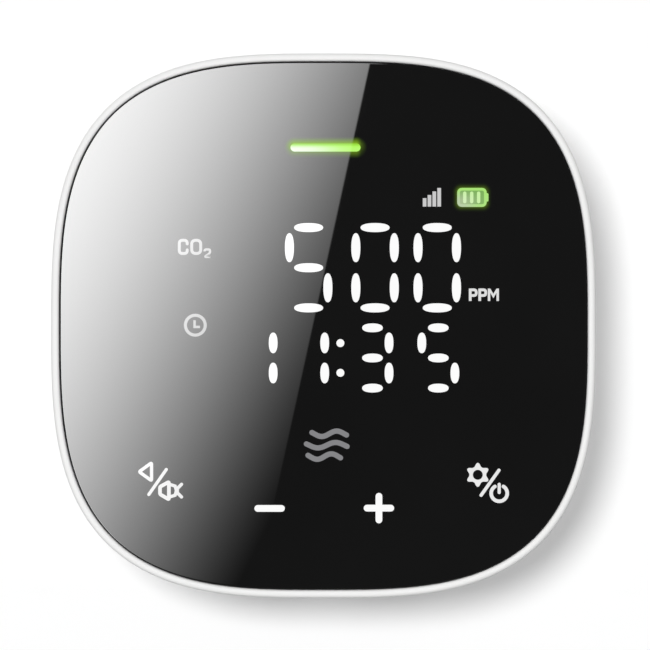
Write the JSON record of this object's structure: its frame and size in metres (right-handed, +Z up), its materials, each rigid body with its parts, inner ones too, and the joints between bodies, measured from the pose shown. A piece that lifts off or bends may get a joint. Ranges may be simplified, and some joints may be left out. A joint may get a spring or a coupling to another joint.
{
  "type": "carbon dioxide monitor",
  "caption": "Rounded-square desk and wall carbon dioxide monitor with a black glass display, a pale slim case and a fold-out stand leg on the back.",
  "frame": {"origin": "bottom centre of the case's bounding box: mid-width, mid-depth, at the lowest point of the case outline", "axes": "+X to the right of the display as it is read, +Y out of the back (the display faces -Y), +Z up"},
  "size_m": [0.11, 0.027, 0.11],
  "materials": {
    "white_plastic": "fine satin moulding",
    "black_glass": "polished, printed black behind",
    "grey_plastic": "moulded",
    "display_light": "lit white film",
    "green_light": "lit green light guide",
    "black_plastic": "moulded",
    "circuit_board": "solder mask",
    "steel": "plated",
    "gold_plate": "thin gold plate",
    "cell_foil": "laminated foil",
    "rubber": "matt",
    "foam": "closed-cell foam",
    "red_wire": "insulation"
  },
  "bodies": {
    "case": {"front_panel": "black_glass", "panel_adhesive": "foam", "front_frame": "white_plastic", "display_housing": "grey_plastic", "display_diffuser": "display_light", "light_guide": "green_light", "touch_spring_sound": "gold_plate", "touch_spring_minus": "gold_plate", "touch_spring_plus": "gold_plate", "touch_spring_settings": "gold_plate", "display_board": "circuit_board", "display_board_screw_1": "steel", "display_board_screw_2": "steel", "display_board_screw_3": "steel", "display_board_screw_4": "steel", "main_board": "circuit_board", "main_board_screw_1": "steel", "main_board_screw_2": "steel", "main_board_screw_3": "steel", "main_board_screw_4": "steel", "board_connector": "black_plastic", "co2_sensor_board": "circuit_board", "co2_sensor_cell": "gold_plate", "sensor_foam_seal": "foam", "wireless_module": "steel", "buzzer": "black_plastic", "usb_socket": "steel", "battery": "cell_foil", "battery_foam": "foam", "battery_plug": "white_plastic", "battery_wire_positive": "red_wire", "battery_wire_negative": "black_plastic", "rear_cover": "white_plastic", "foot_pad_left": "rubber", "foot_pad_right": "rubber", "case_screw_1": "steel", "case_screw_2": "steel", "case_screw_3": "steel", "case_screw_4": "steel", "hinge_pin": "steel"},
    "stand": {"stand_leg": "white_plastic", "leg_pad": "rubber"}
  },
  "joints": [
    {"name": "stand_hinge", "type": "hinge", "parent": "case", "child": "stand", "pos_m": [0, 0.0112, 0.014], "axis": [-1, 0, 0], "range_deg": [0, 90]}
  ]
}
